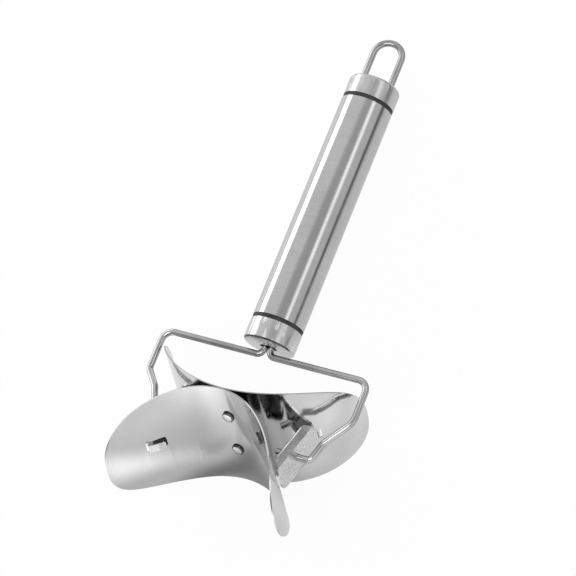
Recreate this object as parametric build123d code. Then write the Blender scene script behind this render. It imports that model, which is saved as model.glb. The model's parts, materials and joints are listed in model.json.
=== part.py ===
import os
from math import atan2, cos, pi, radians, sin, sqrt, tan

from build123d import *

# All sizes in mm. X runs along the cutter axle, Y up the handle, Z is up.
# The model is drawn about the middle of the axle and moved to the floor at the end.

# handle
handle_dia = 24.0
tube_wall = 0.9
tube_low = 56.2
tube_high = 165.7
ring_width = 2.0
ring_inset = 0.2
bottom_cap_height = 9.8
bottom_cap_edge = 0.7
top_cap_height = 9.8
top_cap_edge = 1.8
cap_face = 2.0
spigot_length = 8.0
bottom_bore_dia = 16.0
top_bore_dia = 18.0

# wire of the loop and the yoke
wire_dia = 3.0
loop_bend = 6.8
loop_rise = 21.6
loop_turn = 12.0
shank_half_gap = 1.65
bar_drop = 4.0
bar_half = 52.6
arm_drop = 19.2
slant_in = 9.8
slant_drop = 12.5
foot_in = 2.8
axle_tip = 23.5
cap_bend = 3.0
corner_bend = 5.0
knee_bend = 4.0
ankle_bend = 6.0
foot_bend = 2.6

# blades: one oval blank and one roll, the front one bent tighter over its middle
sheet = 0.6
blank_half_length = 61.7
blank_half_width = 29.0
blank_flat = 2.37
blank_blunt = 2.57
rear_roll = 57.4
front_roll = 33.0
middle_half = 18.2
spin = 66.8
rim_points = 32

# end brackets: each leans outwards from the front blade to the rear one
front_end_x = 32.4
rear_end_x = 34.8
bracket_flat = 12.4
bracket_margin = 3.9
bracket_fold = 25.0
bracket_corner = 6.5
bracket_sheet = 0.9
tab_width = 4.2
tab_length = 7.8
tab_corner = 1.3
tab_lift = 1.1
tab_skew = 11.0
knuckle_width = 5.4
window_gap = 0.5
window_corner = 1.0

# rivets between the blades
rivet_margin = 18.6
rivet_shift = 1.3
rivet_dia = 3.0
rivet_head = 5.0
rivet_corner = 1.7
rivet_height = 1.0
rivet_edge = 0.45
rivet_lift = 0.3

# clearances
seat = 0.02
slip = 0.06
running = 0.08
cap_slot_gap = 0.7

handle_r = handle_dia / 2
tube_r = handle_r - tube_wall
spigot_r = tube_r - seat
wire_r = wire_dia / 2
low_ring = tube_low - ring_width
high_ring = tube_high + ring_width
cap_bottom = low_ring - bottom_cap_height
cap_top = high_ring + top_cap_height
bar_y = cap_bottom - bar_drop
blade_gap = seat
rivet_spread = blank_half_width - rivet_margin


def turned(points, radii=None):
    if radii is None:
        outline = Polyline(*points, close=True)
    else:
        outline = FilletPolyline(*points, radius=radii, close=True)
    return revolve(make_face(outline), Axis.Y, 360)


def collar(inner, outer, low, high):
    return turned([(inner, low), (outer, low), (outer, high), (inner, high)])


def rod(radius, low, high):
    return turned([(0, low), (radius, low), (radius, high), (0, high)])


def bent_wire(path):
    return sweep(Plane(origin=path @ 0, z_dir=path % 0) * Circle(wire_r), path)


def cap(face, shoulder, end, bore_r, edge):
    # cup with a spigot; face is the outer end, end is the open end of the spigot
    step = cap_face if end > face else -cap_face
    points = [
        (bore_r, end),
        (bore_r, face + step),
        (0, face + step),
        (0, face),
        (handle_r, face),
        (handle_r, shoulder),
        (spigot_r, shoulder),
        (spigot_r, end),
    ]
    return turned(points, [0, 0, 0, 0, edge, 0, 0, 0] if edge else None)


# handle
handle_tube = collar(tube_r, handle_r, tube_low, tube_high)
ring_r = handle_r - ring_inset
lower_ring = collar(tube_r + seat, ring_r, low_ring + seat, tube_low - seat)
upper_ring = collar(tube_r + seat, ring_r, tube_high + seat, high_ring - seat)

low_spigot = tube_low + spigot_length
high_spigot = tube_high - spigot_length
bottom_cap = cap(cap_bottom, low_ring, low_spigot, bottom_bore_dia / 2, 0)
bottom_cap = chamfer(bottom_cap.edges().group_by(Axis.Y)[0], bottom_cap_edge)
top_cap = cap(cap_top, high_ring, high_spigot, top_bore_dia / 2, top_cap_edge)
bottom_plug = rod(bottom_bore_dia / 2 - seat, cap_bottom + cap_face + seat, low_spigot)
top_plug = rod(top_bore_dia / 2 - seat, high_spigot, cap_top - cap_face - seat)

# yoke: two wires, mirrored about the middle plane
shank_end = low_spigot - spigot_length / 2
knee_y = bar_y - arm_drop
ankle = (bar_half - slant_in, knee_y - slant_drop)
yoke_line = FilletPolyline(
    (shank_half_gap, shank_end),
    (shank_half_gap, bar_y),
    (bar_half, bar_y),
    (bar_half, knee_y),
    ankle,
    (ankle[0] - foot_in, 0),
    (axle_tip, 0),
    radius=[cap_bend, corner_bend, knee_bend, ankle_bend, foot_bend],
)
right_yoke_wire = bent_wire(yoke_line)
left_yoke_wire = mirror(right_yoke_wire, Plane.YZ)

shank_slot = SlotCenterToCenter(2 * shank_half_gap, wire_dia + 2 * cap_slot_gap)
face_plane = Plane(origin=(0, cap_bottom, 0), x_dir=(1, 0, 0), z_dir=(0, 1, 0))
bottom_cap -= extrude(face_plane * shank_slot, cap_face * 2, both=True)
for side in (-1, 1):
    bottom_plug -= Pos(side * shank_half_gap, 0, 0) * rod(wire_r + seat, cap_bottom, shank_end + seat)

# hanging loop
loop_top = cap_top + loop_rise - loop_bend
loop_foot = high_spigot + spigot_length
loop_line = FilletPolyline(
    (loop_bend, loop_foot),
    (loop_bend, loop_top + loop_bend),
    (-loop_bend, loop_top + loop_bend),
    (-loop_bend, loop_foot),
    radius=loop_bend - seat,
)
turn_loop = Rot(0, loop_turn, 0)
hanging_loop = turn_loop * bent_wire(loop_line)
for side in (-1, 1):
    leg = Pos(side * loop_bend, 0, 0)
    top_cap -= turn_loop * leg * rod(wire_r + slip, high_ring, cap_top + cap_face)
    top_plug -= turn_loop * leg * rod(wire_r + seat, loop_foot - seat, cap_top)


# cutter, drawn with the front blade open towards +Z and the blades touching at Z = 0
def half_width(u):
    return blank_half_width * max(1 - abs(u / blank_half_length) ** blank_flat, 0) ** (1 / blank_blunt)


def middle_centre(roll):
    return Vector(0, 0, roll + sheet / 2 + blade_gap)


def end_centre(roll):
    # axis of the arc that the +X end of a blade follows
    turn = middle_half / roll
    lift = rear_roll - roll
    return middle_centre(roll) + Vector(-lift * sin(turn), 0, lift * cos(turn))


def on_sheet(roll, u, out):
    # point of a blade's section, u along the blank and out towards the convex face
    along = abs(u)
    turn = min(along, middle_half) / roll
    centre = middle_centre(roll)
    radius = roll + out
    if along > middle_half:
        turn += (along - middle_half) / rear_roll
        centre = end_centre(roll)
        radius = rear_roll + out
    x = centre.X + radius * sin(turn)
    return Vector(x if u > 0 else -x, 0, centre.Z - radius * cos(turn))


def section(roll, reach):
    stops = [-reach, -middle_half, middle_half, reach]
    lines = []
    for out in (-sheet / 2, sheet / 2):
        for low, high in zip(stops, stops[1:]):
            lines.append(ThreePointArc(*[on_sheet(roll, u, out) for u in (low, (low + high) / 2, high)]))
    for u in (-reach, reach):
        lines.append(Line(on_sheet(roll, u, -sheet / 2), on_sheet(roll, u, sheet / 2)))
    return make_face(lines)


def rim(roll, out):
    # both edges of the blank laid on the section
    wires = []
    for side in (-1, 1):
        points = []
        for k in range(rim_points + 1):
            u = -blank_half_length * cos(pi * k / rim_points)
            points.append(on_sheet(roll, u, out) + Vector(0, side * half_width(u), 0))
        wires.append(Edge.make_spline(points))
    return wires


def bracket_end(roll, x):
    # highest point of a bracket plate under the convex face, on the middle plane
    centre = end_centre(roll)
    across = x - bracket_sheet - centre.X
    return Vector(x, 0, centre.Z - sqrt((rear_roll + sheet / 2) ** 2 - across**2) - slip)


def mirrored(v):
    # the same point or heading seen with the rear blade open towards +Z
    return Vector(v.X, -v.Y, -v.Z)


front_end = bracket_end(front_roll, front_end_x)
rear_end = bracket_end(rear_roll, rear_end_x)
bracket_run = front_end - mirrored(rear_end)
front_heading = bracket_run.normalized()
axle_lift = (front_end.Z - rear_end.Z) / 2
rear_heading = mirrored(front_heading * -1)


def tab_ends(roll, end, heading):
    # corner and tip of a tab that goes out through its window and folds towards the middle
    centre = end_centre(roll)
    offset = end - centre
    radius = rear_roll - sheet / 2 - tab_lift
    toward = offset.dot(heading)
    corner = end + heading * (-toward - sqrt(toward**2 - offset.dot(offset) + radius**2))
    turn = atan2(corner.X - centre.X, centre.Z - corner.Z) - tab_length / rear_roll
    low = rear_roll - sheet / 2 - bracket_sheet / 2 - slip
    return corner, centre + Vector(low * sin(turn), 0, -low * cos(turn))


def fold_plane(origin, run):
    return Plane(origin=origin, x_dir=run, z_dir=run.cross(Vector(0, 1, 0)))


def blade(roll, end, heading, rivet_middle):
    reach = 4 * sheet
    inner = rim(roll, -reach)
    outer = rim(roll, reach)
    knife = Shell([Face.make_surface_from_curves(a, b) for a, b in zip(inner, outer)])
    trough = extrude(section(roll, blank_half_length + reach), 2 * blank_half_width, both=True)
    pieces = trough.solid().split(knife, keep=Keep.ALL).solids()
    oval = pieces.sort_by(lambda s: s.bounding_box().size.Y)[0]
    corner, tip = tab_ends(roll, end, heading)
    run = tip - corner
    window_length = run.length + bracket_sheet + 2 * window_gap
    window = RectangleRounded(window_length, knuckle_width + 2 * slip, window_corner)
    window = fold_plane((corner + tip) * 0.5, run) * extrude(window, reach + tab_lift, both=True)
    oval -= window
    oval -= mirror(window, Plane.YZ)
    for place in (-rivet_spread, rivet_spread):
        oval -= Pos(0, rivet_middle + place, 0) * Cylinder(rivet_dia / 2 + slip, 6 * sheet)
    return oval


flip = Rot(180, 0, 0)
front_blade = blade(front_roll, front_end, front_heading, rivet_shift)
rear_blade = flip * blade(rear_roll, rear_end, rear_heading, -rivet_shift)


def tab(roll, end, heading):
    corner, tip = tab_ends(roll, end, heading)
    run = tip - corner
    flat = Pos(run.length / 2, 0, 0) * Rectangle(run.length, tab_width)
    flat = fillet(flat.vertices().group_by(Axis.X)[-1], tab_corner)
    fold = Rot(0, 0, -tab_skew) * extrude(flat, bracket_sheet / 2, both=True)
    knuckle = Pos(*corner) * Rot(90, 0, 0) * Cylinder(bracket_sheet / 2, knuckle_width)
    root = end - heading * (tab_width / 2)
    standing = Plane(origin=(root + corner) * 0.5, x_dir=(0, 1, 0), z_dir=heading)
    leg = standing * Box(knuckle_width, bracket_sheet, (corner - root).length)
    return leg + knuckle + fold_plane(corner, run) * fold


def bracket():
    # flat plate with its long margins folded in, the axle hole in its middle
    fold = radians(bracket_fold)
    thick = bracket_sheet / 2
    bend = thick * tan(fold / 2)
    edge_x = -bracket_margin * sin(fold)
    edge_y = bracket_flat / 2 + bracket_margin * cos(fold)
    half = [
        (thick, bracket_flat / 2 + bend),
        (edge_x + thick * cos(fold), edge_y + thick * sin(fold)),
        (edge_x - thick * cos(fold), edge_y - thick * sin(fold)),
        (-thick, bracket_flat / 2 - bend),
    ]
    folded = Polyline(*half, *[(x, -y) for x, y in reversed(half)], close=True)
    length = bracket_run.length
    foot = mirrored(rear_end)
    outward = Vector(0, 1, 0).cross(front_heading)
    standing = Plane(origin=foot, x_dir=outward, z_dir=front_heading)
    facing = Plane(origin=foot + bracket_run * 0.5, x_dir=front_heading, z_dir=outward)
    plate = standing * extrude(make_face(folded), length)
    plate &= extrude(facing * RectangleRounded(length, 2 * edge_y, bracket_corner), edge_y, both=True)
    plate += tab(front_roll, front_end, front_heading)
    plate += flip * tab(rear_roll, rear_end, rear_heading)
    hole_x = (front_end_x + rear_end_x) / 2
    axle_hole = Pos(hole_x, 0, axle_lift) * Rot(0, 90, 0) * Cylinder(wire_r + running, 2 * edge_y)
    return plate - axle_hole


right_bracket = bracket()
left_bracket = mirror(right_bracket, Plane.YZ)


def rivet(y):
    base = sheet + blade_gap + rivet_lift
    head = extrude(RectangleRounded(rivet_head, rivet_head, rivet_corner), rivet_height)
    head = chamfer(head.edges().group_by(Axis.Z)[-1], rivet_edge)
    body = Cylinder(rivet_dia / 2, 2 * base + rivet_height)
    body += Pos(0, 0, base) * head
    body += flip * Pos(0, 0, base) * head
    return Pos(0, y, 0) * body


rivet_places = (rivet_shift - rivet_spread, rivet_shift + rivet_spread)
blade_rivets = Compound(children=[Solid(rivet(y).solid().wrapped) for y in rivet_places])

turn_cutter = Rot(spin, 0, 0) * Pos(0, 0, -axle_lift)
nodes = {
    "handle_tube": handle_tube,
    "top_cap": top_cap,
    "bottom_cap": bottom_cap,
    "upper_ring": upper_ring,
    "lower_ring": lower_ring,
    "hanging_loop": hanging_loop,
    "top_plug": top_plug,
    "bottom_plug": bottom_plug,
    "left_yoke_wire": left_yoke_wire,
    "right_yoke_wire": right_yoke_wire,
    "front_blade": turn_cutter * front_blade,
    "rear_blade": turn_cutter * rear_blade,
    "left_bracket": turn_cutter * left_bracket,
    "right_bracket": turn_cutter * right_bracket,
    "blade_rivets": turn_cutter * blade_rivets,
}

# origin under the middle of the whole part, on the floor
boxes = [shape.bounding_box() for shape in nodes.values()]
near = min(box.min.Y for box in boxes)
far = max(box.max.Y for box in boxes)
floor = min(box.min.Z for box in boxes)
place = Pos(0, -(near + far) / 2, -floor)
print("axle at", 0, -(near + far) / 2, -floor, "length", far - near)

os.makedirs("parts", exist_ok=True)
for name, shape in nodes.items():
    export_step(place * shape, f"parts/{name}.step")
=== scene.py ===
import json
import math

import bpy
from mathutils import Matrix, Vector


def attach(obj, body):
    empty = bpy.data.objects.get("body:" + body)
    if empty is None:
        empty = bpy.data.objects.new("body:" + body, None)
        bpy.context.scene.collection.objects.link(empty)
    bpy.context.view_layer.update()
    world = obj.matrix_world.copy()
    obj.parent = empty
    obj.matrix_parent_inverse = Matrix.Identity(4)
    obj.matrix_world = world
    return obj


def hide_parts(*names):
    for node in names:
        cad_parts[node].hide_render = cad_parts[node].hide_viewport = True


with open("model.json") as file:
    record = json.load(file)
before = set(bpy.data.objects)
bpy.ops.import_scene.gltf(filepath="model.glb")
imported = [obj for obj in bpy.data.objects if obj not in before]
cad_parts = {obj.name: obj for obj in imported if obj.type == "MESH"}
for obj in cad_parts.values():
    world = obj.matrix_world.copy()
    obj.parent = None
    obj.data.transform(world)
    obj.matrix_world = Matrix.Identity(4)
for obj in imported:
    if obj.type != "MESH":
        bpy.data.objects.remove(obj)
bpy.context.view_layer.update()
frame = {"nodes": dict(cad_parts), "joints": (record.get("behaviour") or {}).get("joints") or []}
nodes = frame["nodes"]
axle = Vector(frame["joints"][0]["pos_m"])
cutterSpin = math.radians(66.8)  # how far the front blade's opening is turned from straight up
cutterAcross = Vector((0, math.cos(cutterSpin), math.sin(cutterSpin)))
cutterOut = Vector((0, -math.sin(cutterSpin), math.cos(cutterSpin)))
print("frame loaded:", len(nodes), "nodes")

# kinds of node socket
number = "NodeSocketFloat"
whole = "NodeSocketInt"
direction = "NodeSocketVector"
geometry = "NodeSocketGeometry"
anyMaterial = "NodeSocketMaterial"


# node helpers
def addNode(tree, kind, **values):
    node = tree.nodes.new(kind)
    for key, value in values.items():
        setattr(node, key, value)
    return node


def plug(tree, source, target):
    # a socket is linked, a plain value is set
    if isinstance(source, bpy.types.NodeSocket):
        tree.links.new(source, target)
    else:
        target.default_value = source


def newTree(kind, name, inputs, outputs):
    tree = bpy.data.node_groups.new(name, kind)
    for way, sockets in (("INPUT", inputs), ("OUTPUT", outputs)):
        for label, socketKind in sockets.items():
            tree.interface.new_socket(name=label, in_out=way, socket_type=socketKind)
    given = addNode(tree, "NodeGroupInput").outputs
    out = addNode(tree, "NodeGroupOutput").inputs
    return tree, given, out


def mathNode(tree, operation, a, b=None, clamp=False):
    node = addNode(tree, "ShaderNodeMath", operation=operation, use_clamp=clamp)
    plug(tree, a, node.inputs[0])
    if b is not None:
        plug(tree, b, node.inputs[1])
    return node.outputs[0]


def plus(tree, first, *others):
    for other in others:
        first = mathNode(tree, "ADD", first, other)
    return first


def times(tree, first, *others):
    for other in others:
        first = mathNode(tree, "MULTIPLY", first, other)
    return first


def rangeNode(tree, value, span, goal=(0.0, 1.0)):
    # eases from the first goal to the second while value runs through span
    node = addNode(tree, "ShaderNodeMapRange", interpolation_type="SMOOTHSTEP")
    plug(tree, value, node.inputs["Value"])
    for name, end in zip(("From Min", "From Max", "To Min", "To Max"), (*span, *goal)):
        plug(tree, end, node.inputs[name])
    return node.outputs["Result"]


def noiseNode(tree, vector, scale, detail=3.0, roughness=0.55):
    node = addNode(tree, "ShaderNodeTexNoise")
    plug(tree, vector, node.inputs["Vector"])
    plug(tree, scale, node.inputs["Scale"])
    node.inputs["Detail"].default_value = detail
    node.inputs["Roughness"].default_value = roughness
    return node.outputs["Fac"]


def splitNode(tree, vector):
    node = addNode(tree, "ShaderNodeSeparateXYZ")
    plug(tree, vector, node.inputs["Vector"])
    return node.outputs


def dotNode(tree, vector, way):
    node = addNode(tree, "ShaderNodeVectorMath", operation="DOT_PRODUCT")
    plug(tree, vector, node.inputs[0])
    node.inputs[1].default_value = way
    return node.outputs["Value"]


def mixNode(tree, kind, mask, a, b):
    node = addNode(tree, "ShaderNodeMix", data_type=kind)
    for name, value in (("Factor", mask), ("A", a), ("B", b)):
        plug(tree, value, node.inputs[name])
    return node.outputs["Result"]


def groupNode(tree, group, spot, **values):
    node = addNode(tree, "ShaderNodeGroup", node_tree=group)
    plug(tree, spot, node.inputs["Vector"])
    for name, value in values.items():
        plug(tree, value, node.inputs[name])
    return node.outputs


# streaks left by the brushing belt, drawn out along the second axis of Vector
brushLook = dict(fineScale=1.0, fineDetail=4.0, fineRough=0.65, fineShare=0.65,
                 broadScale=0.22, broadDetail=2.0, broadShare=0.35, streakSpan=(0.3, 0.7),
                 hazeScale=45.0, hazeSpan=(0.35, 0.7))


def makeBrushGroup():
    look = brushLook
    group, given, out = newTree(
        "ShaderNodeTree", "beltBrushing",
        {"Vector": direction, "Across": number, "Along": number},
        {"Streaks": number, "Haze": number},
    )
    stretch = addNode(group, "ShaderNodeCombineXYZ")
    for axis, name in (("X", "Across"), ("Y", "Along"), ("Z", "Across")):
        plug(group, given[name], stretch.inputs[axis])
    scaled = addNode(group, "ShaderNodeVectorMath", operation="MULTIPLY")
    plug(group, given["Vector"], scaled.inputs[0])
    plug(group, stretch.outputs["Vector"], scaled.inputs[1])
    drawn = scaled.outputs["Vector"]
    fine = noiseNode(group, drawn, look["fineScale"], look["fineDetail"], look["fineRough"])
    broad = noiseNode(group, drawn, look["broadScale"], look["broadDetail"])
    both = plus(group, times(group, fine, look["fineShare"]),
                times(group, broad, look["broadShare"]))
    cloud = noiseNode(group, given["Vector"], look["hazeScale"])
    plug(group, rangeNode(group, both, look["streakSpan"]), out["Streaks"])
    plug(group, rangeNode(group, cloud, look["hazeSpan"]), out["Haze"])
    return group


# short hair scratches that cross at three angles, in patches
scuffLook = dict(turns=(0.6, -0.8, 1.9), shifts=(0.0, 3.7, 8.1), tilt=(0.7, 1.0, 1.3),
                 stretch=(1500.0, 110.0, 1500.0), hairDetail=2.0, hairSpan=(0.58, 0.68),
                 patchScale=130.0, patchSpan=(0.38, 0.54))


def makeScuffGroup():
    look = scuffLook
    group, given, out = newTree(
        "ShaderNodeTree", "crossScuffs",
        {"Vector": direction, "Scale": number, "Amount": number},
        {"Scuffs": number},
    )
    lines = []
    for turn, shift in zip(look["turns"], look["shifts"]):
        place = addNode(group, "ShaderNodeMapping")
        plug(group, given["Vector"], place.inputs["Vector"])
        place.inputs["Location"].default_value = (shift, shift, shift)
        place.inputs["Rotation"].default_value = [turn * share for share in look["tilt"]]
        place.inputs["Scale"].default_value = look["stretch"]
        hair = noiseNode(group, place.outputs["Vector"], given["Scale"], look["hairDetail"])
        lines.append(rangeNode(group, hair, look["hairSpan"]))
    most = mathNode(group, "MAXIMUM", mathNode(group, "MAXIMUM", lines[0], lines[1]), lines[2])
    cloud = noiseNode(group, given["Vector"], look["patchScale"])
    spread = times(group, most, rangeNode(group, cloud, look["patchSpan"]))
    scuffs = mathNode(group, "MULTIPLY", spread, given["Amount"], clamp=True)
    plug(group, scuffs, out["Scuffs"])
    return group


# frosting from tumbling: a fine even grain
frostLook = dict(detail=3.0, rough=0.7)


def makeFrostGroup():
    group, given, out = newTree(
        "ShaderNodeTree", "tumbledFrost",
        {"Vector": direction, "Grain": number},
        {"Frost": number},
    )
    grain = noiseNode(group, given["Vector"], given["Grain"], frostLook["detail"],
                      frostLook["rough"])
    plug(group, grain, out["Frost"])
    return group


brushGroup = makeBrushGroup()
scuffGroup = makeScuffGroup()
frostGroup = makeFrostGroup()
print("shader groups made")


# material helpers
def newMaterial(name):
    material = bpy.data.materials.new(name)
    material.use_nodes = True
    tree = material.node_tree
    return material, tree, tree.nodes["Principled BSDF"]


def addBump(tree, height, strength, depth):
    bump = addNode(tree, "ShaderNodeBump")
    bump.inputs["Strength"].default_value = strength
    bump.inputs["Distance"].default_value = depth
    plug(tree, height, bump.inputs["Height"])
    plug(tree, bump.outputs["Normal"], tree.nodes["Principled BSDF"].inputs["Normal"])


def coverGrey(material, mask, grey, rough=None):
    # a flat tone, and its roughness, laid over the finish where mask is 1
    tree = material.node_tree
    shader = tree.nodes["Principled BSDF"]
    goal = shader.inputs["Base Color"]
    tone = mixNode(tree, "RGBA", mask, goal.links[0].from_socket, (grey, grey, grey, 1))
    plug(tree, tone, goal)
    if rough is not None:
        goal = shader.inputs["Roughness"]
        plug(tree, rangeNode(tree, mask, (0.0, 1.0), (goal.links[0].from_socket, rough)), goal)


def cutterPlace(tree, spot):
    # place measured from the axle and turned with the blades
    place = addNode(tree, "ShaderNodeMapping", vector_type="TEXTURE")
    plug(tree, spot, place.inputs["Vector"])
    place.inputs["Location"].default_value = axle
    place.inputs["Rotation"].default_value = (cutterSpin, 0, 0)
    return splitNode(tree, place.outputs["Vector"])


# what the steel finishes share; each piece's own look changes some of it
steelLook = dict(
    centre=(0, 0, 0),
    edge=1.0,  # how much of the grazing light comes back
    cool=1.005,  # a trace more blue than red and green
    streakShade=0.6, hazeShade=0.4,  # how much each darkens the grey
    scuffScale=1.0, scuffRough=0.25, scuffBump=0.5,
    frost=0.0, frostRough=0.3, grain=2600.0,
    mottle=0.0, mottleSpan=(0.36, 0.64),
    bumpDepth=0.00004,
)
handleCentre = (0, 0, -axle.z)  # the handle's own axis lies level with the axle


def steel(name, look):
    # polished, satin or frosted steel, by the numbers in look
    material, tree, shader = newMaterial(name)
    edge = look["edge"]
    shader.inputs["Metallic"].default_value = 1.0
    shader.inputs["Specular Tint"].default_value = (edge, edge, edge, 1)
    if "follows" in look:  # the piece's own attribute, straightened out along it
        source = addNode(tree, "ShaderNodeAttribute", attribute_name=look["follows"])
        spot = source.outputs["Vector"]
    else:
        spot = addNode(tree, "ShaderNodeTexCoord").outputs["Object"]
    place = addNode(tree, "ShaderNodeMapping")
    plug(tree, spot, place.inputs["Vector"])
    place.inputs["Location"].default_value = look["centre"]
    spot = place.outputs["Vector"]
    brush = groupNode(tree, brushGroup, spot, Across=look["across"], Along=look["along"])
    streaks, haze = brush["Streaks"], brush["Haze"]
    scuff = groupNode(tree, scuffGroup, spot, Scale=look["scuffScale"], Amount=look["scuffs"])
    scuffs = scuff["Scuffs"]
    grain = groupNode(tree, frostGroup, spot, Grain=look["grain"])["Frost"]
    # roughness: streaks, cloudy haze, scuffs and frost on top of the base
    rough = plus(
        tree,
        times(tree, streaks, look["streakRough"]),
        times(tree, haze, look["hazeRough"]),
        times(tree, scuffs, look["scuffRough"]),
        times(tree, grain, look["frost"] * look["frostRough"]),
    )
    rough = mathNode(tree, "ADD", rough, look["roughness"], clamp=True)
    plug(tree, rough, shader.inputs["Roughness"])
    # colour: darker in the streaks and the haze, and in the mottling where there is any
    shade = plus(tree, times(tree, streaks, look["streakShade"]),
                 times(tree, haze, look["hazeShade"]))
    mottle = look["mottle"]
    if mottle:
        blots = rangeNode(tree, grain, look["mottleSpan"], (0.0, mottle))
        shade = plus(tree, times(tree, shade, 1 - mottle), blots)
    dark, pale = [(grey, grey, grey * look["cool"], 1) for grey in look["grey"]]
    plug(tree, mixNode(tree, "RGBA", shade, pale, dark), shader.inputs["Base Color"])
    if "scuffGrey" in look:
        coverGrey(material, scuffs, look["scuffGrey"])
    height = plus(tree, times(tree, streaks, look["streakBump"]),
                  times(tree, grain, look["frost"]))
    height = mathNode(tree, "SUBTRACT", height, times(tree, scuffs, look["scuffBump"]))
    addBump(tree, height, look["bump"], look["bumpDepth"])
    return material


# what the two plastics share
plasticLook = dict(specular=0.4, cloudScale=160.0, cloudSpan=(0.35, 0.7), grainSpan=(0.3, 0.7),
                   bump=0.25, bumpDepth=0.00005)


def mattPlastic(name, look):
    material, tree, shader = newMaterial(name)
    shader.inputs["Specular IOR Level"].default_value = look["specular"]
    spot = addNode(tree, "ShaderNodeTexCoord").outputs["Object"]
    frost = groupNode(tree, frostGroup, spot, Grain=look["grain"])["Frost"]
    clouds = rangeNode(tree, noiseNode(tree, spot, look["cloudScale"]), look["cloudSpan"])
    tone = mixNode(tree, "RGBA", clouds, (*look["dark"], 1), (*look["pale"], 1))
    plug(tree, tone, shader.inputs["Base Color"])
    rough = rangeNode(tree, frost, look["grainSpan"], look["rough"])
    plug(tree, rough, shader.inputs["Roughness"])
    addBump(tree, frost, look["bump"], look["bumpDepth"])
    return material


bottomCapLook = dict(
    steelLook, across=300.0, along=90.0, grey=(0.58, 0.72), roughness=0.14, streakRough=0.05,
    hazeRough=0.12, scuffs=1.0, scuffScale=0.36, scuffBump=2.4, scuffGrey=0.95,
    streakBump=0.4, bump=0.55, centre=handleCentre,
    # painted shade in the wire slot: its grey, half width and reach
    slotShade=0.03, slotHalf=0.00165, slotReach=(0.0025, 0.0028),
    # painted shade on the near half of the bevel: how far its normal leans to the end face, and up
    bevelShade=0.2, bevelStart=(-0.3, -0.5), bevelEnd=(-0.95, -0.85), bevelNear=(0.0, 0.25),
)


def makeBottomCapFinish():
    # painted shade: dark grey in the wire slot and on the near half of the bevelled edge
    look = bottomCapLook
    material = steel("bottomCap", look)
    tree = material.node_tree
    source = addNode(tree, "ShaderNodeTexCoord").outputs
    parts = splitNode(tree, source["Object"])
    # painted shade: near black within reach of the wire slot
    past = mathNode(tree, "SUBTRACT", mathNode(tree, "ABSOLUTE", parts["X"]), look["slotHalf"])
    off = addNode(tree, "ShaderNodeCombineXYZ")
    plug(tree, mathNode(tree, "MAXIMUM", past, 0.0), off.inputs["X"])
    plug(tree, mathNode(tree, "SUBTRACT", parts["Z"], axle.z), off.inputs["Z"])
    gap = addNode(tree, "ShaderNodeVectorMath", operation="LENGTH")
    plug(tree, off.outputs["Vector"], gap.inputs[0])
    slotShade = rangeNode(tree, gap.outputs["Value"], look["slotReach"], (1.0, 0.0))
    coverGrey(material, slotShade, look["slotShade"])
    # painted shade: the near half of the bevel, picked by the way its normal leans
    facing = splitNode(tree, source["Normal"])
    bevelShade = times(
        tree,
        rangeNode(tree, facing["Y"], look["bevelStart"]),
        rangeNode(tree, facing["Y"], look["bevelEnd"]),
        rangeNode(tree, facing["Z"], look["bevelNear"]),
    )
    coverGrey(material, bevelShade, look["bevelShade"])
    return material


bladeLook = dict(
    steelLook, across=1100.0, along=30.0, grey=(0.62, 0.66), roughness=0.07, streakRough=0.03,
    hazeRough=0.02, scuffs=0.1, streakBump=0.5, bump=0.03,
    rim=0.45, rimRough=0.3, rimSpan=(0.06, 0.25),
    # painted highlight: the bright stretch of rim, along the axle, and off the middle to the front
    rimHighlight=0.95, highlightStart=(-0.012, 0.0), highlightEnd=(0.034, 0.038), highlightFront=(0.0, 0.001),
)


def makeBladeFinish():
    # the sheet is rolled about one heading, so a face turned along it is the sheared edge
    look = bladeLook
    material = steel("rolledBlade", look)
    tree = material.node_tree
    source = addNode(tree, "ShaderNodeTexCoord").outputs
    turned = dotNode(tree, source["Normal"], cutterAcross)
    rim = rangeNode(tree, mathNode(tree, "ABSOLUTE", turned), look["rimSpan"])
    coverGrey(material, rim, look["rim"], look["rimRough"])
    parts = cutterPlace(tree, source["Object"])
    # painted highlight: a stretch of the sheared rim made pale, where it catches the light
    rimHighlightMask = times(
        tree,
        rangeNode(tree, turned, look["rimSpan"]),
        rangeNode(tree, parts["X"], look["highlightStart"]),
        rangeNode(tree, parts["X"], look["highlightEnd"], (1.0, 0.0)),
        rangeNode(tree, parts["Z"], look["highlightFront"]),
    )
    coverGrey(material, rimHighlightMask, look["rimHighlight"])
    return material


bracketLook = dict(
    steelLook, across=500.0, along=300.0, grey=(0.5, 0.76), roughness=0.11, streakRough=0.04,
    hazeRough=0.05, scuffs=0.3, frost=0.5, grain=1000.0, mottle=0.75, streakBump=0.1, bump=0.45,
    # painted shade inside the pocket and painted highlight on the tab ends: greys and where they
    # fall
    pocketShade=0.2, insideSpan=(-0.84, -0.9), leftPocketShade=0.04, leftSpan=(0.0, -0.001),
    tabHighlight=0.84, tabSpan=(0.0142, 0.0148),
)


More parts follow.
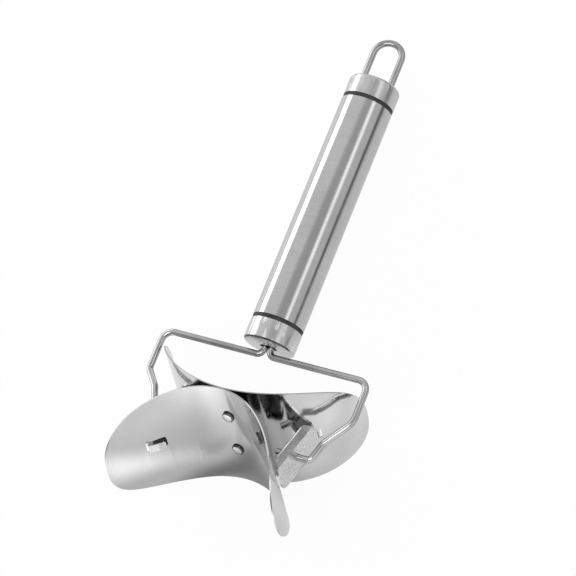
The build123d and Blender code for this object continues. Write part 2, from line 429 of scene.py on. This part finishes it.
def makeBracketFinish():
    # painted highlight on the tab ends, pale beyond the plate; painted shade on the face inside the
    # pocket, darkest on the left bracket
    look = bracketLook
    material = steel("frostedBracket", look)
    tree = material.node_tree
    parts = cutterPlace(tree, addNode(tree, "ShaderNodeTexCoord").outputs["Object"])
    reach = mathNode(tree, "ABSOLUTE", parts["Z"])
    tabHighlight = rangeNode(tree, reach, look["tabSpan"])
    plate = rangeNode(tree, reach, look["tabSpan"], (1.0, 0.0))
    facing = splitNode(tree, addNode(tree, "ShaderNodeNewGeometry").outputs["Normal"])
    outward = times(tree, facing["X"], mathNode(tree, "SIGN", parts["X"]))
    # painted shade: the plate's inner face made dark grey
    pocketShadeMask = times(tree, rangeNode(tree, outward, look["insideSpan"]), plate)
    coverGrey(material, pocketShadeMask, look["pocketShade"])
    left = rangeNode(tree, parts["X"], look["leftSpan"])
    coverGrey(material, times(tree, pocketShadeMask, left), look["leftPocketShade"])
    # painted highlight: the tab ends beyond the plate made pale
    coverGrey(material, tabHighlight, look["tabHighlight"])
    return material


rivetLook = dict(
    steelLook, across=900.0, along=300.0, grey=(0.62, 0.82), roughness=0.2, streakRough=0.05,
    hazeRough=0.08, scuffs=0.6, frost=0.3, streakBump=0.4, bump=0.25,
    # side: the grey of the painted shade down the heads' sides, and the rise over which it fades
    side=0.16, sideShadeSpan=(0.79, 0.84),
)


def makeRivetFinish():
    # painted shade: the sides of the heads are made dark grey, the crowns keep the bright steel
    material = steel("rivetHead", rivetLook)
    tree = material.node_tree
    rise = addNode(tree, "ShaderNodeAttribute", attribute_name="rise").outputs["Fac"]
    # painted shade down the sides, where rise is low
    side = rangeNode(tree, rise, rivetLook["sideShadeSpan"], (1.0, 0.0))
    coverGrey(material, side, rivetLook["side"])
    return material


tubeLook = dict(
    steelLook, across=220.0, along=1700.0, grey=(0.57, 0.66), roughness=0.05, streakRough=0.06,
    hazeRough=0.03, scuffs=0.4, streakBump=0.8, bump=0.14, centre=handleCentre,
)
topCapLook = dict(
    steelLook, across=420.0, along=90.0, grey=(0.54, 0.7), roughness=0.19, streakRough=0.07,
    hazeRough=0.12, scuffs=0.8, scuffScale=0.5, scuffBump=1.2, scuffGrey=0.84,
    streakBump=0.9, bump=0.5, centre=handleCentre,
)
wireLook = dict(
    steelLook, across=480.0, along=12.0, grey=(0.34, 0.68), edge=0.3, roughness=0.06,
    streakRough=0.06, hazeRough=0.05, scuffs=0.2, streakBump=0.6, bump=0.12, follows="drawn",
)
ringLook = dict(plasticLook, dark=(0.02, 0.02, 0.021), pale=(0.05, 0.05, 0.052),
                rough=(0.45, 0.7), grain=1800.0)
plugLook = dict(plasticLook, dark=(0.02, 0.02, 0.02), pale=(0.05, 0.05, 0.05),
                rough=(0.5, 0.7), grain=1500.0)

# each finish and the nodes that wear it
finishes = {
    "satinTube": (steel("satinTube", tubeLook), ["handle_tube"]),
    "topCap": (steel("topCap", topCapLook), ["top_cap"]),
    "bottomCap": (makeBottomCapFinish(), ["bottom_cap"]),
    "drawnWire": (steel("drawnWire", wireLook),
                  ["hanging_loop", "left_yoke_wire", "right_yoke_wire"]),
    "rolledBlade": (makeBladeFinish(), ["front_blade", "rear_blade"]),
    "frostedBracket": (makeBracketFinish(), ["left_bracket", "right_bracket"]),
    "rivetHead": (makeRivetFinish(), ["blade_rivets"]),
    "blackRing": (mattPlastic("blackRing", ringLook), ["upper_ring", "lower_ring"]),
    "capPlug": (mattPlastic("capPlug", plugLook), ["top_plug", "bottom_plug"]),
}
for material, names in finishes.values():
    for name in names:
        mesh = nodes[name].data
        mesh.materials.clear()
        mesh.materials.append(material)
print("finishes set:", len(finishes))


# geometry node helpers
def geoNode(tree, kind, source, values=None, **settings):
    # fed from source; values are numbers or sockets by input name
    node = addNode(tree, kind, **settings)
    if source is not None:
        plug(tree, source, node.inputs[0])
    for name, value in (values or {}).items():
        plug(tree, value, node.inputs[name])
    return node


def chain(tree, kind, source, values=None, **settings):
    return geoNode(tree, kind, source, values, **settings).outputs[0]


def named(tree, name, kind="FLOAT"):
    node = geoNode(tree, "GeometryNodeInputNamedAttribute", None, {"Name": name}, data_type=kind)
    return node.outputs["Attribute"]


def store(tree, source, name, value, kind="FLOAT"):
    return chain(tree, "GeometryNodeStoreNamedAttribute", source, {"Name": name, "Value": value},
                 data_type=kind, domain="POINT")


def growPiece(name, seed, tree, settings):
    # evaluates the tree on the seed mesh and keeps the result as a plain mesh
    piece = bpy.data.objects.new(name, seed)
    bpy.context.collection.objects.link(piece)
    grow = piece.modifiers.new("grow", "NODES")
    grow.node_group = tree
    for item in tree.interface.items_tree:
        if item.in_out == "INPUT" and item.name in settings:
            grow[item.identifier] = settings[item.name]
    graph = bpy.context.evaluated_depsgraph_get()
    made = bpy.data.meshes.new_from_object(
        piece.evaluated_get(graph), preserve_all_data_layers=True, depsgraph=graph)
    piece.modifiers.clear()
    piece.data = made
    made.name = name
    return piece


# bent wires: a route with a bend radius at each corner, filleted and swept
# corners in millimetres from the middle of the axle: sideways, up the handle, bend radius
perMetre = 1000
yokeLook = dict(
    radius=0.0015, sides=28, bendSteps=14, turn=0.0,
    route=dict(
        shankTop=(1.65, 60.2, 0), shankFoot=(1.65, 40.4, 3), shoulder=(52.6, 40.4, 5),
        knee=(52.6, 21.2, 8), ankle=(42.8, 8.7, 6), axleTurn=(40.0, 0.0, 2.6),
        axleEnd=(23.5, 0.0, 0),
    ),
)
# the left one's lower bends are tighter and sit higher
leftLook = dict(yokeLook, route=dict(
    yokeLook["route"], knee=(52.6, 21.2, 4), ankle=(46.4, 14.0, 6), axleTurn=(40.6, 0.0, 2.6)))
loopLook = dict(
    radius=0.0015, sides=28, bendSteps=28, turn=12.0,
    route=dict(
        rightFoot=(6.8, 165.7, 0), rightTop=(6.8, 199.1, 6.78),
        leftTop=(-6.8, 199.1, 6.78), leftFoot=(-6.8, 165.7, 0),
    ),
)


def makeWireTree():
    tree, given, out = newTree(
        "GeometryNodeTree", "bentWire",
        {"Geometry": geometry, "Wire Radius": number, "Bend Steps": whole, "Sides": whole,
         "Material": anyMaterial},
        {"Geometry": geometry},
    )
    line = chain(tree, "GeometryNodeMeshToCurve", given["Geometry"])
    line = chain(tree, "GeometryNodeFilletCurve", line, {
        "Count": given["Bend Steps"], "Radius": named(tree, "bend"), "Limit Radius": True,
    }, mode="POLY")
    length = addNode(tree, "GeometryNodeSplineParameter").outputs["Length"]
    line = store(tree, line, "along", length)
    ring = chain(tree, "GeometryNodeCurvePrimitiveCircle", None, {
        "Resolution": given["Sides"], "Radius": given["Wire Radius"],
    }, mode="RADIUS")
    spot = addNode(tree, "GeometryNodeInputPosition").outputs["Position"]
    ring = store(tree, ring, "side", spot, "FLOAT_VECTOR")
    wire = chain(tree, "GeometryNodeCurveToMesh", line, {"Profile Curve": ring, "Fill Caps": True})
    # the wire as if pulled straight: across, along, across
    side = splitNode(tree, named(tree, "side", "FLOAT_VECTOR"))
    drawn = addNode(tree, "ShaderNodeCombineXYZ")
    for axis, part in (("X", side["X"]), ("Y", named(tree, "along")), ("Z", side["Y"])):
        plug(tree, part, drawn.inputs[axis])
    wire = store(tree, wire, "drawn", drawn.outputs["Vector"], "FLOAT_VECTOR")
    # smooth round the wire, where the faces have four corners, and flat on its cut ends
    corners = addNode(tree, "GeometryNodeInputMeshFaceNeighbors").outputs["Vertex Count"]
    quads = addNode(tree, "FunctionNodeCompare", data_type="INT", operation="EQUAL")
    plug(tree, corners, quads.inputs["A"])
    quads.inputs["B"].default_value = 4
    wire = chain(tree, "GeometryNodeSetShadeSmooth", wire, {
        "Shade Smooth": quads.outputs["Result"],
    })
    wire = chain(tree, "GeometryNodeRealizeInstances", wire)
    wire = chain(tree, "GeometryNodeSetMaterial", wire, {"Material": given["Material"]})
    plug(tree, wire, out["Geometry"])
    return tree


def addWire(name, look, mirrored, node):
    turn = math.radians(look["turn"])
    side = -1 if mirrored else 1
    spots, bends = [], []
    for x, y, bend in look["route"].values():
        x *= side
        offset = Vector((x * math.cos(turn), y, -x * math.sin(turn)))
        spots.append(axle + offset / perMetre)
        bends.append(bend / perMetre)
    seed = bpy.data.meshes.new(name + "Route")
    seed.from_pydata(spots, [(k, k + 1) for k in range(len(spots) - 1)], [])
    seed.attributes.new("bend", "FLOAT", "POINT").data.foreach_set("value", bends)
    piece = growPiece(name, seed, wireTree, {
        "Wire Radius": look["radius"], "Bend Steps": look["bendSteps"], "Sides": look["sides"],
        "Material": finishes["drawnWire"][0],
    })
    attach(piece, "handle")
    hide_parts(node)


wireTree = makeWireTree()
addWire("rightYokeWire", yokeLook, False, "right_yoke_wire")
addWire("leftYokeWire", leftLook, True, "left_yoke_wire")
addWire("hangingLoop", loopLook, False, "hanging_loop")
print("wires bent")


# rivets: a crowned head on each side of the blades, set on the two middles
headLook = {"Head Width": 0.0052, "Corner": 0.0021, "Side Height": 0.0005, "Edge": 0.0002,
            "Crown": 0.00025, "Neck Radius": 0.0015, "Stand Off": 0.00092, "Wobble": 0.2, "Seed": 4}
headBuild = dict(
    cornerSteps=6, neckSides=24, weld=0.000002, shoulderAngle=0.6,
    # each step's top face is sized against the one below it
    edgeSize=0.92,
    crownSteps=((0.6, 0.72), (0.3, 0.62), (0.1, 0.45)),  # share of the crown's rise, and size
)


def makeRivetTree():
    build = headBuild
    sizes = {label: whole if label == "Seed" else number for label in headLook}
    tree, given, out = newTree(
        "GeometryNodeTree", "crownedRivets",
        {"Geometry": geometry, **sizes, "Spin": number, "Material": anyMaterial},
        {"Geometry": geometry},
    )
    outline = chain(tree, "GeometryNodeCurvePrimitiveQuadrilateral", None, {
        "Width": given["Head Width"], "Height": given["Head Width"],
    }, mode="RECTANGLE")
    outline = chain(tree, "GeometryNodeFilletCurve", outline, {
        "Count": build["cornerSteps"], "Radius": given["Corner"], "Limit Radius": True,
    }, mode="POLY")
    base = chain(tree, "GeometryNodeFillCurve", outline, mode="NGONS")
    steps = [(given["Side Height"], 1.0), (given["Edge"], build["edgeSize"])]
    for share, size in build["crownSteps"]:
        steps.append((times(tree, given["Crown"], share), size))
    head, top = base, True
    for lift, size in steps:
        step = geoNode(tree, "GeometryNodeExtrudeMesh", head, {
            "Selection": top, "Offset Scale": lift, "Individual": False,
        }, mode="FACES")
        top = step.outputs["Top"]
        head = chain(tree, "GeometryNodeScaleElements", step.outputs["Mesh"], {
            "Selection": top, "Scale": size,
        }, domain="FACE")
    closed = addNode(tree, "GeometryNodeJoinGeometry")
    for piece in (head, chain(tree, "GeometryNodeFlipFaces", base)):
        plug(tree, piece, closed.inputs["Geometry"])
    head = chain(tree, "GeometryNodeMergeByDistance", closed.outputs["Geometry"], {
        "Distance": build["weld"],
    })
    # rise: 0 at the foot of the head, 1 at its top
    spot = splitNode(tree, addNode(tree, "GeometryNodeInputPosition").outputs["Position"])
    tall = plus(tree, given["Side Height"], given["Edge"], given["Crown"])
    head = store(tree, head, "rise", mathNode(tree, "DIVIDE", spot["Z"], tall))
    lift = addNode(tree, "ShaderNodeCombineXYZ")
    plug(tree, given["Stand Off"], lift.inputs["Z"])
    head = chain(tree, "GeometryNodeTransform", head, {"Translation": lift.outputs["Vector"]})
    back = chain(tree, "GeometryNodeTransform", head, {"Rotation": (math.pi, 0, 0)})
    neck = chain(tree, "GeometryNodeMeshCylinder", None, {
        "Vertices": build["neckSides"], "Radius": given["Neck Radius"],
        "Depth": times(tree, given["Stand Off"], 2.0),
    })
    rivet = addNode(tree, "GeometryNodeJoinGeometry")
    for piece in (head, back, neck):
        plug(tree, piece, rivet.inputs["Geometry"])

    def turned(axis, angle):
        # rotation by angle about one axis
        bits = addNode(tree, "ShaderNodeCombineXYZ")
        plug(tree, angle, bits.inputs[axis])
        turn = addNode(tree, "FunctionNodeEulerToRotation")
        plug(tree, bits.outputs["Vector"], turn.inputs[0])
        return turn.outputs[0]

    shake = addNode(tree, "FunctionNodeRandomValue", data_type="FLOAT")
    least, most = [end for end in shake.inputs if end.type == "VALUE" and end.enabled]
    plug(tree, times(tree, given["Wobble"], -1.0), least)
    plug(tree, given["Wobble"], most)
    plug(tree, given["Seed"], shake.inputs["Seed"])
    wobble = [end for end in shake.outputs if end.enabled][0]
    rivets = chain(tree, "GeometryNodeInstanceOnPoints", given["Geometry"], {
        "Instance": rivet.outputs["Geometry"], "Rotation": turned("X", given["Spin"]),
    })
    rivets = chain(tree, "GeometryNodeRotateInstances", rivets, {
        "Rotation": turned("Z", wobble), "Local Space": True,
    })
    rivets = chain(tree, "GeometryNodeRealizeInstances", rivets)
    # smooth over the crowns, sharp at the shoulders
    angle = addNode(tree, "GeometryNodeInputMeshEdgeAngle").outputs["Unsigned Angle"]
    gentle = addNode(tree, "FunctionNodeCompare", data_type="FLOAT", operation="LESS_THAN")
    plug(tree, angle, gentle.inputs[0])
    gentle.inputs[1].default_value = build["shoulderAngle"]
    for domain, smooth in (("FACE", True), ("EDGE", gentle.outputs["Result"])):
        rivets = chain(tree, "GeometryNodeSetShadeSmooth", rivets, {
            "Shade Smooth": smooth,
        }, domain=domain)
    rivets = chain(tree, "GeometryNodeSetMaterial", rivets, {"Material": given["Material"]})
    plug(tree, rivets, out["Geometry"])
    return tree


def addRivets():
    # the two middles are read from the rivets' own solid
    spots = [vertex.co for vertex in nodes["blade_rivets"].data.vertices]
    middle = sum(spot.dot(cutterAcross) for spot in spots) / len(spots)
    centres = []
    for side in (-1, 1):
        group = [spot for spot in spots if (spot.dot(cutterAcross) - middle) * side > 0]
        centre = Vector((0, 0, 0))
        for way in (cutterAcross, cutterOut):
            reach = [spot.dot(way) for spot in group]
            centre += way * (min(reach) + max(reach)) / 2
        centres.append(centre)
    seed = bpy.data.meshes.new("rivetMiddles")
    seed.from_pydata(centres, [], [])
    piece = growPiece("rivetHeads", seed, makeRivetTree(), {
        **headLook, "Spin": cutterSpin, "Material": finishes["rivetHead"][0],
    })
    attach(piece, "cutter")
    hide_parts("blade_rivets")


addRivets()
print("rivets set")


# floor: white to the camera; to the metal it glows as a softly graded table of painted light and
# painted shade
floorLook = dict(
    size=8.0, colour=(0.93, 0.93, 0.93, 1), roughness=0.8, white=0.955, graded=0.85,
    level=0.90, leastLevel=0.05,
    # oval pools and shades: place and half sizes in metres; cut ends one at a straight line
    washes={
        "nearPool": dict(spot=(0.003, -0.128), turn=-1.64, size=(0.018, 0.014), lift=0.85),
        "footShade": dict(spot=(-0.0045, -0.1036), turn=-1.33, size=(0.022, 0.12), lift=-0.62),
        "middleShade": dict(spot=(-0.0155, -0.136), turn=2.83, size=(0.0234, 0.015), lift=-0.24),
        "frontShade": dict(spot=(-0.006, -0.174), turn=1.47, size=(0.134, 0.039), lift=-0.31),
        "underShade": dict(spot=(0.0, -0.062), turn=0.0, size=(0.05, 0.03), lift=-0.35),
        "rightNear": dict(spot=(0.037, -0.094), turn=0.33, size=(0.041, 0.016), lift=0.42),
        "rightFar": dict(spot=(0.075, -0.10), turn=0.0, size=(0.023, 0.075), lift=0.22),
        "cutLight": dict(spot=(-0.029, -0.1095), turn=0.92, size=(0.015, 0.011), lift=0.38,
                         cut=dict(heading=-0.653, span=(0.0436, 0.0444), lift=1.0)),
        "cutShade": dict(spot=(-0.051, -0.139), turn=0.92, size=(0.036, 0.012), lift=-0.62,
                         cut=dict(heading=-0.653, span=(0.0444, 0.0436), lift=1.0)),
    },
    # painted light and shade sloping across the whole floor: heading, and from where to where each
    # rises or falls
    slopes={
        "frontCorner": dict(heading=4.25, span=(0.137, 0.236), lift=0.86),
        "leftSide": dict(heading=3.14, span=(0.06, 0.10), lift=0.2),
        "rightBack": dict(heading=0.35, span=(0.07, 0.22), lift=-0.72),
        "farRight": dict(heading=0.35, span=(0.32, 0.75), lift=0.35),
        "backSide": dict(heading=1.57, span=(-0.06, 0.0), lift=-0.2),
    },
)


def slopeNode(tree, spot, look):
    way = (math.cos(look["heading"]), math.sin(look["heading"]), 0)
    return rangeNode(tree, dotNode(tree, spot, way), look["span"], (0.0, look["lift"]))


def washNode(tree, spot, look):
    place = addNode(tree, "ShaderNodeMapping", vector_type="TEXTURE")
    plug(tree, spot, place.inputs["Vector"])
    place.inputs["Location"].default_value = (*look["spot"], 0)
    place.inputs["Rotation"].default_value = (0, 0, look["turn"])
    place.inputs["Scale"].default_value = (*look["size"], 1)
    ball = addNode(tree, "ShaderNodeTexGradient", gradient_type="SPHERICAL")
    plug(tree, place.outputs["Vector"], ball.inputs["Vector"])
    wash = rangeNode(tree, ball.outputs["Fac"], (0.0, 1.0), (0.0, look["lift"]))
    if "cut" in look:
        wash = times(tree, wash, slopeNode(tree, spot, look["cut"]))
    return wash


def makeFloor():
    half = floorLook["size"] / 2
    corners = [(-half, -half, 0), (half, -half, 0), (half, half, 0), (-half, half, 0)]
    mesh = bpy.data.meshes.new("floor")
    mesh.from_pydata(corners, [], [(0, 1, 2, 3)])
    floor = bpy.data.objects.new("floor", mesh)
    bpy.context.collection.objects.link(floor)
    material, tree, shader = newMaterial("paleFloor")
    shader.inputs["Base Color"].default_value = floorLook["colour"]
    shader.inputs["Roughness"].default_value = floorLook["roughness"]
    shader.inputs["Specular IOR Level"].default_value = 0.0
    spot = addNode(tree, "ShaderNodeTexCoord").outputs["Object"]
    lifts = [washNode(tree, spot, look) for look in floorLook["washes"].values()]
    lifts += [slopeNode(tree, spot, look) for look in floorLook["slopes"].values()]
    level = plus(tree, floorLook["level"], *lifts)
    level = mathNode(tree, "MAXIMUM", level, floorLook["leastLevel"])
    # camera rays get plain white, rays off the metal get the graded level of painted light and
    # shade
    seen = addNode(tree, "ShaderNodeLightPath").outputs
    shiny = mathNode(tree, "MAXIMUM", seen["Is Glossy Ray"], seen["Is Transmission Ray"])
    glow = addNode(tree, "ShaderNodeEmission")
    plug(tree, mixNode(tree, "FLOAT", shiny, 1.0, level), glow.inputs["Strength"])
    share = plus(tree, times(tree, seen["Is Camera Ray"], floorLook["white"]),
                 times(tree, shiny, floorLook["graded"]))
    mix = addNode(tree, "ShaderNodeMixShader")
    plug(tree, share, mix.inputs["Fac"])
    plug(tree, shader.outputs["BSDF"], mix.inputs[1])
    plug(tree, glow.outputs["Emission"], mix.inputs[2])
    plug(tree, mix.outputs["Shader"], tree.nodes["Material Output"].inputs["Surface"])
    mesh.materials.append(material)


makeFloor()

# lamps, in metres and watts
lamps = {
    "leftBox": dict(spot=(-1.0, 0.3, 0.45), aim=(0, 0.05, 0.02), size=(1.3, 0.5), watts=3.2),
    "rightStrip": dict(spot=(0.88, 0.3, 0.69), aim=(0, 0.05, 0.02), size=(1.6, 0.34), watts=0.63),
    "rightCore": dict(spot=(0.86, 0.3, 0.68), aim=(0, 0.05, 0.02), size=(1.6, 0.15), watts=0.31),
    "topBox": dict(spot=(0.15, -0.7, 1.45), aim=(0, 0, 0), size=(1.2, 0.8), watts=6.0),
}


def addLamp(name, look):
    data = bpy.data.lights.new(name, "AREA")
    data.shape = "RECTANGLE"
    data.size, data.size_y = look["size"]
    data.energy = look["watts"]
    lamp = bpy.data.objects.new(name, data)
    lamp.location = look["spot"]
    toAim = Vector(look["aim"]) - Vector(look["spot"])
    lamp.rotation_euler = toAim.to_track_quat("-Z", "Y").to_euler()
    bpy.context.collection.objects.link(lamp)


for name, look in lamps.items():
    addLamp(name, look)

# the photo's view: offset of the camera from the middle of the axle in metres, turn in degrees
camLook = dict(offset=(0.55124, -0.2402, 0.986), turn=(25.513, 21.398, 23.071), lens=164.795,
               sensor=36.0)
# brightness of each side of the room, and where a ray's direction changes from one to the next
skyLook = dict(left=0.73, right=0.6, sideShadeSpan=(-0.1, 0.6), front=0.4, frontSpan=(0.05, -0.4),
               wall=0.95, wallRight=(0.3, 0.7), wallAhead=(0.05, -0.12),
               camera=0.44, cameraSpan=(0.77, 0.865))


def makeSky():
    world = bpy.data.worlds.new("softStudio")
    bpy.context.scene.world = world
    world.use_nodes = True
    tree = world.node_tree
    back = tree.nodes["Background"]
    ray = addNode(tree, "ShaderNodeTexCoord").outputs["Generated"]
    parts = splitNode(tree, ray)
    level = rangeNode(tree, parts["X"], skyLook["sideShadeSpan"], (skyLook["left"], skyLook["right"]))
    front = rangeNode(tree, parts["Y"], skyLook["frontSpan"])
    # a pale wall stands at the front right
    wall = times(tree, rangeNode(tree, parts["X"], skyLook["wallRight"]),
                 rangeNode(tree, parts["Y"], skyLook["wallAhead"]))
    # the room behind the camera is darker
    facing = dotNode(tree, ray, Vector(camLook["offset"]).normalized())
    behind = rangeNode(tree, facing, skyLook["cameraSpan"])
    for mask, side in ((front, "front"), (wall, "wall"), (behind, "camera")):
        level = mixNode(tree, "FLOAT", mask, level, skyLook[side])
    plug(tree, level, back.inputs["Strength"])
    back.inputs["Color"].default_value = (1, 1, 1, 1)


makeSky()

camData = bpy.data.cameras.new("photoView")
camData.lens = camLook["lens"]
camData.sensor_width = camLook["sensor"]
camera = bpy.data.objects.new("photoView", camData)
camera.location = axle + Vector(camLook["offset"])
camera.rotation_euler = [math.radians(angle) for angle in camLook["turn"]]
bpy.context.collection.objects.link(camera)
scene = bpy.context.scene
scene.camera = camera
scene.view_settings.view_transform = "Standard"
print("floor, lamps and camera set")
